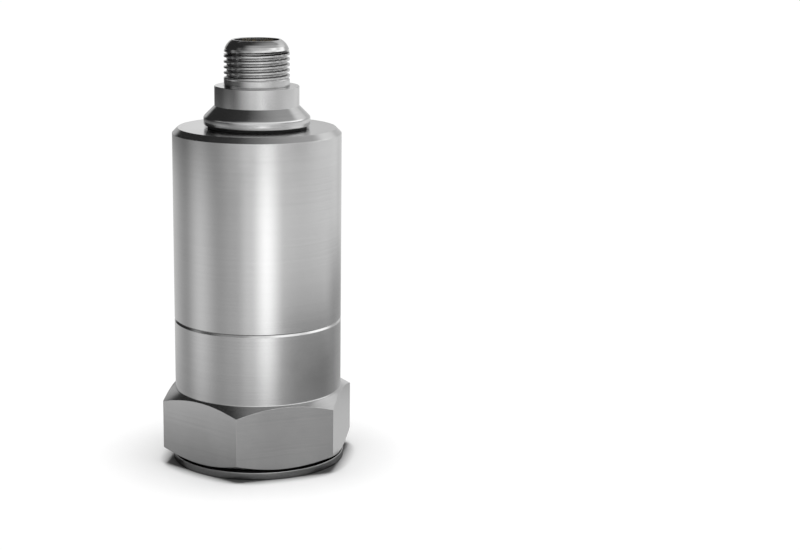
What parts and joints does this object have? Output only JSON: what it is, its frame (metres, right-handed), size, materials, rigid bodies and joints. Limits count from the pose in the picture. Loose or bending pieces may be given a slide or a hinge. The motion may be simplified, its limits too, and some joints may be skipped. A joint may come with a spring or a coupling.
{
  "type": "vibration sensor",
  "caption": "Turned steel vibration sensor with a hex base on a round mounting pad, a round two-part case and a stepped M12 connector on top.",
  "frame": {"origin": "centre of the mounting face, at the bottom of the sensor", "axes": "+Z along the sensor's axis from the mounting face to the connector, +X through a corner of the hex"},
  "size_m": [0.037, 0.032, 0.0784],
  "materials": {
    "case_steel": "turned stainless steel",
    "connector_steel": "turned stainless steel",
    "seal_rubber": "matte",
    "insert_plastic": "moulded",
    "contact_gold": "gold plated",
    "insulator_ceramic": "ground",
    "element_steel": "ground",
    "piezo_ceramic": "lapped",
    "shield_brass": "drawn",
    "board_laminate": "solder mask",
    "chip_plastic": "moulded",
    "capacitor_film": "dipped",
    "can_aluminium": "drawn",
    "sleeve_plastic": "moulded"
  },
  "bodies": {
    "root": {"mounting_base": "case_steel", "upper_housing": "case_steel", "joint_seal": "seal_rubber", "connector_shell": "connector_steel", "flange_seal": "seal_rubber", "connector_insert": "insert_plastic", "contact_pin_1": "contact_gold", "contact_pin_2": "contact_gold", "contact_pin_3": "contact_gold", "contact_pin_4": "contact_gold", "isolation_disc": "insulator_ceramic", "sensor_post": "element_steel", "piezo_plate_1": "piezo_ceramic", "piezo_plate_2": "piezo_ceramic", "piezo_plate_3": "piezo_ceramic", "seismic_mass_1": "element_steel", "seismic_mass_2": "element_steel", "seismic_mass_3": "element_steel", "preload_ring": "element_steel", "element_shield": "shield_brass", "element_lead": "shield_brass", "amplifier_board": "board_laminate", "amplifier_chip": "chip_plastic", "charge_capacitor": "capacitor_film", "board_socket": "insert_plastic", "main_board": "board_laminate", "converter_chip": "chip_plastic", "interface_chip": "chip_plastic", "voltage_regulator": "chip_plastic", "crystal": "can_aluminium", "filter_capacitor_1": "can_aluminium", "filter_capacitor_2": "can_aluminium", "board_sleeve": "sleeve_plastic", "connector_socket": "insert_plastic", "connector_board": "board_laminate"}
  },
  "joints": []
}
